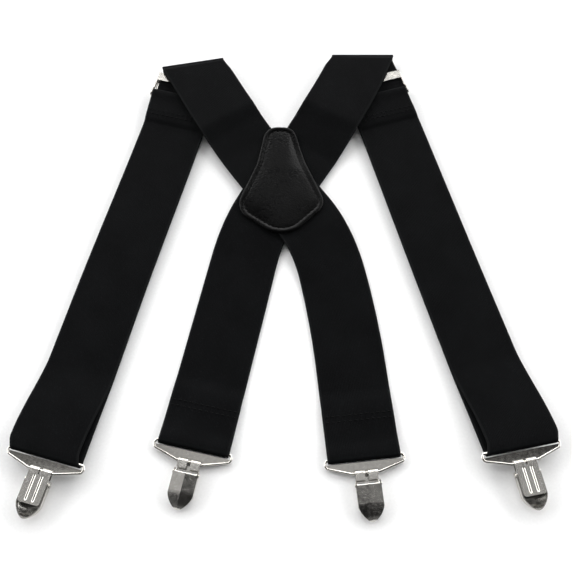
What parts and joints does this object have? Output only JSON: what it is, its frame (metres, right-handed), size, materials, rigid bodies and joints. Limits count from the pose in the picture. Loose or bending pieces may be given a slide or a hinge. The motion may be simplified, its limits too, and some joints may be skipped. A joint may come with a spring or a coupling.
{
  "type": "suspenders",
  "caption": "Wide elastic X-back suspenders with a padded leather back patch, sliding strap adjusters and hinged metal clips on swinging rings, laid out flat.",
  "frame": {"origin": "centre of the back patch's lower face, on the surface that the suspenders lie on", "axes": "+Z out of the back patch's outer face, +Y towards the shoulders, +X to the right seen from outside"},
  "size_m": [0.3756, 0.3794, 0.0093],
  "materials": {
    "webbing": "ribbed elastic weave, matt",
    "patch_leather": "fine grain, semi-gloss",
    "thread": "matt",
    "nickel": "bright nickel plate",
    "spring_steel": "satin",
    "grip_plastic": "matt"
  },
  "bodies": {
    "back": {"back_patch_inner": "patch_leather", "back_patch_outer": "patch_leather", "back_patch_stitching": "thread", "left_back_webbing": "webbing", "right_back_webbing": "webbing", "right_rear_stitching": "thread", "left_rear_stitching": "thread", "left_shoulder_bend": "webbing", "right_shoulder_bend": "webbing"},
    "left_front_strap": {"left_front_webbing": "webbing"},
    "left_front_loop": {"left_front_loop_webbing": "webbing", "left_front_return_webbing": "webbing"},
    "left_adjuster": {"left_adjuster_frame": "nickel", "left_front_hem_webbing": "webbing", "left_front_hem_stitching": "thread"},
    "left_adjuster_clamp": {"left_adjuster_clamp": "nickel"},
    "right_front_strap": {"right_front_webbing": "webbing"},
    "right_front_loop": {"right_front_loop_webbing": "webbing", "right_front_return_webbing": "webbing"},
    "right_adjuster": {"right_adjuster_frame": "nickel", "right_front_hem_webbing": "webbing", "right_front_hem_stitching": "thread"},
    "right_adjuster_clamp": {"right_adjuster_clamp": "nickel"},
    "right_rear_ring": {"right_rear_clip_ring": "nickel"},
    "right_rear_clip": {"right_rear_clip_base": "nickel", "right_rear_clip_pin": "nickel", "right_rear_base_jaw_pad": "grip_plastic"},
    "right_rear_lever": {"right_rear_clip_lever": "nickel"},
    "right_rear_leaf": {"right_rear_jaw_leaf": "spring_steel", "right_rear_leaf_jaw_pad": "grip_plastic"},
    "left_rear_ring": {"left_rear_clip_ring": "nickel"},
    "left_rear_clip": {"left_rear_clip_base": "nickel", "left_rear_clip_pin": "nickel", "left_rear_base_jaw_pad": "grip_plastic"},
    "left_rear_lever": {"left_rear_clip_lever": "nickel"},
    "left_rear_leaf": {"left_rear_jaw_leaf": "spring_steel", "left_rear_leaf_jaw_pad": "grip_plastic"},
    "left_front_ring": {"left_front_clip_ring": "nickel"},
    "left_front_clip": {"left_front_clip_base": "nickel", "left_front_clip_pin": "nickel", "left_front_base_jaw_pad": "grip_plastic"},
    "left_front_lever": {"left_front_clip_lever": "nickel"},
    "left_front_leaf": {"left_front_jaw_leaf": "spring_steel", "left_front_leaf_jaw_pad": "grip_plastic"},
    "right_front_ring": {"right_front_clip_ring": "nickel"},
    "right_front_clip": {"right_front_clip_base": "nickel", "right_front_clip_pin": "nickel", "right_front_base_jaw_pad": "grip_plastic"},
    "right_front_lever": {"right_front_clip_lever": "nickel"},
    "right_front_leaf": {"right_front_jaw_leaf": "spring_steel", "right_front_leaf_jaw_pad": "grip_plastic"}
  },
  "joints": [
    {"name": "left_shoulder_fold", "type": "hinge", "parent": "back", "child": "left_front_strap", "pos_m": [-0.0745, 0.1084, 0.00495], "axis": [0.9833, 0.1822, 0], "range_deg": [0, 180], "deforming": ["left_shoulder_bend"]},
    {"name": "left_strap_length", "type": "slide", "parent": "left_front_strap", "child": "left_front_loop", "axis": [-0.2487, -0.9686, 0], "range_m": [0, 0.075]},
    {"name": "left_adjuster_slide", "type": "slide", "parent": "left_front_loop", "child": "left_adjuster", "axis": [-0.2487, -0.9686, 0], "range_m": [0, 0.075], "deforming": ["left_front_return_webbing"]},
    {"name": "left_adjuster_clamp_hinge", "type": "hinge", "parent": "left_adjuster", "child": "left_adjuster_clamp", "pos_m": [-0.07848, 0.0929, 0.0008], "axis": [0.9686, -0.2487, 0], "range_deg": [0, 95]},
    {"name": "right_shoulder_fold", "type": "hinge", "parent": "back", "child": "right_front_strap", "pos_m": [0.0674, 0.1162, 0.00495], "axis": [1, 0, 0], "range_deg": [0, 180], "deforming": ["right_shoulder_bend"]},
    {"name": "right_strap_length", "type": "slide", "parent": "right_front_strap", "child": "right_front_loop", "axis": [0.2773, -0.9608, 0], "range_m": [0, 0.075]},
    {"name": "right_adjuster_slide", "type": "slide", "parent": "right_front_loop", "child": "right_adjuster", "axis": [0.2773, -0.9608, 0], "range_m": [0, 0.075], "deforming": ["right_front_return_webbing"]},
    {"name": "right_adjuster_clamp_hinge", "type": "hinge", "parent": "right_adjuster", "child": "right_adjuster_clamp", "pos_m": [0.07361, 0.09468, 0.0008], "axis": [0.9608, 0.2773, 0], "range_deg": [0, 95]},
    {"name": "right_rear_ring_swing", "type": "hinge", "parent": "back", "child": "right_rear_ring", "pos_m": [0.05629, -0.21735, 0.0024], "axis": [-0.9945, -0.1045, 0], "range_deg": [-60, 40]},
    {"name": "right_rear_clip_swing", "type": "hinge", "parent": "right_rear_ring", "child": "right_rear_clip", "pos_m": [0.05738, -0.22769, 0.0024], "axis": [-0.9945, -0.1045, 0], "range_deg": [-45, 45]},
    {"name": "right_rear_lever_hinge", "type": "hinge", "parent": "right_rear_clip", "child": "right_rear_lever", "pos_m": [0.05825, -0.23594, 0.0046], "axis": [-0.9945, -0.1045, 0], "range_deg": [0, 95]},
    {"name": "right_rear_leaf_spring", "type": "hinge", "parent": "right_rear_clip", "child": "right_rear_leaf", "pos_m": [0.0581, -0.23455, 0.00195], "axis": [-0.9945, -0.1045, 0], "range_deg": [0, 12]},
    {"name": "left_rear_ring_swing", "type": "hinge", "parent": "back", "child": "left_rear_ring", "pos_m": [-0.06004, -0.21046, 0.0024], "axis": [-0.9759, 0.2181, 0], "range_deg": [-60, 40]},
    {"name": "left_rear_clip_swing", "type": "hinge", "parent": "left_rear_ring", "child": "left_rear_clip", "pos_m": [-0.06231, -0.22061, 0.0024], "axis": [-0.9759, 0.2181, 0], "range_deg": [-45, 45]},
    {"name": "left_rear_lever_hinge", "type": "hinge", "parent": "left_rear_clip", "child": "left_rear_lever", "pos_m": [-0.06412, -0.22871, 0.0046], "axis": [-0.9759, 0.2181, 0], "range_deg": [0, 95]},
    {"name": "left_rear_leaf_spring", "type": "hinge", "parent": "left_rear_clip", "child": "left_rear_leaf", "pos_m": [-0.06382, -0.22734, 0.00195], "axis": [-0.9759, 0.2181, 0], "range_deg": [0, 12]},
    {"name": "left_front_ring_swing", "type": "hinge", "parent": "left_front_loop", "child": "left_front_ring", "pos_m": [-0.15806, -0.21704, 0.007], "axis": [0.9641, -0.2656, 0], "range_deg": [-60, 40]},
    {"name": "left_front_clip_swing", "type": "hinge", "parent": "left_front_ring", "child": "left_front_clip", "pos_m": [-0.16082, -0.22707, 0.007], "axis": [0.9641, -0.2656, 0], "range_deg": [-45, 45]},
    {"name": "left_front_lever_hinge", "type": "hinge", "parent": "left_front_clip", "child": "left_front_lever", "pos_m": [-0.16303, -0.23507, 0.0048], "axis": [0.9641, -0.2656, 0], "range_deg": [0, 95]},
    {"name": "left_front_leaf_spring", "type": "hinge", "parent": "left_front_clip", "child": "left_front_leaf", "pos_m": [-0.16265, -0.23372, 0.00745], "axis": [0.9641, -0.2656, 0], "range_deg": [0, 12]},
    {"name": "right_front_ring_swing", "type": "hinge", "parent": "right_front_loop", "child": "right_front_ring", "pos_m": [0.16183, -0.21094, 0.007], "axis": [0.9813, 0.1925, 0], "range_deg": [-60, 40]},
    {"name": "right_front_clip_swing", "type": "hinge", "parent": "right_front_ring", "child": "right_front_clip", "pos_m": [0.16383, -0.22115, 0.007], "axis": [0.9813, 0.1925, 0], "range_deg": [-45, 45]},
    {"name": "right_front_lever_hinge", "type": "hinge", "parent": "right_front_clip", "child": "right_front_lever", "pos_m": [0.16543, -0.22929, 0.0048], "axis": [0.9813, 0.1925, 0], "range_deg": [0, 95]},
    {"name": "right_front_leaf_spring", "type": "hinge", "parent": "right_front_clip", "child": "right_front_leaf", "pos_m": [0.16516, -0.22792, 0.00745], "axis": [0.9813, 0.1925, 0], "range_deg": [0, 12]}
  ],
  "couplings": [
    {"joint": "left_adjuster_slide", "follows": "left_strap_length", "ratio": 1},
    {"joint": "right_adjuster_slide", "follows": "right_strap_length", "ratio": 1},
    {"joint": "right_rear_leaf_spring", "follows": "right_rear_lever_hinge", "ratio": 0.12632},
    {"joint": "left_rear_leaf_spring", "follows": "left_rear_lever_hinge", "ratio": 0.12632},
    {"joint": "left_front_leaf_spring", "follows": "left_front_lever_hinge", "ratio": 0.12632},
    {"joint": "right_front_leaf_spring", "follows": "right_front_lever_hinge", "ratio": 0.12632}
  ]
}
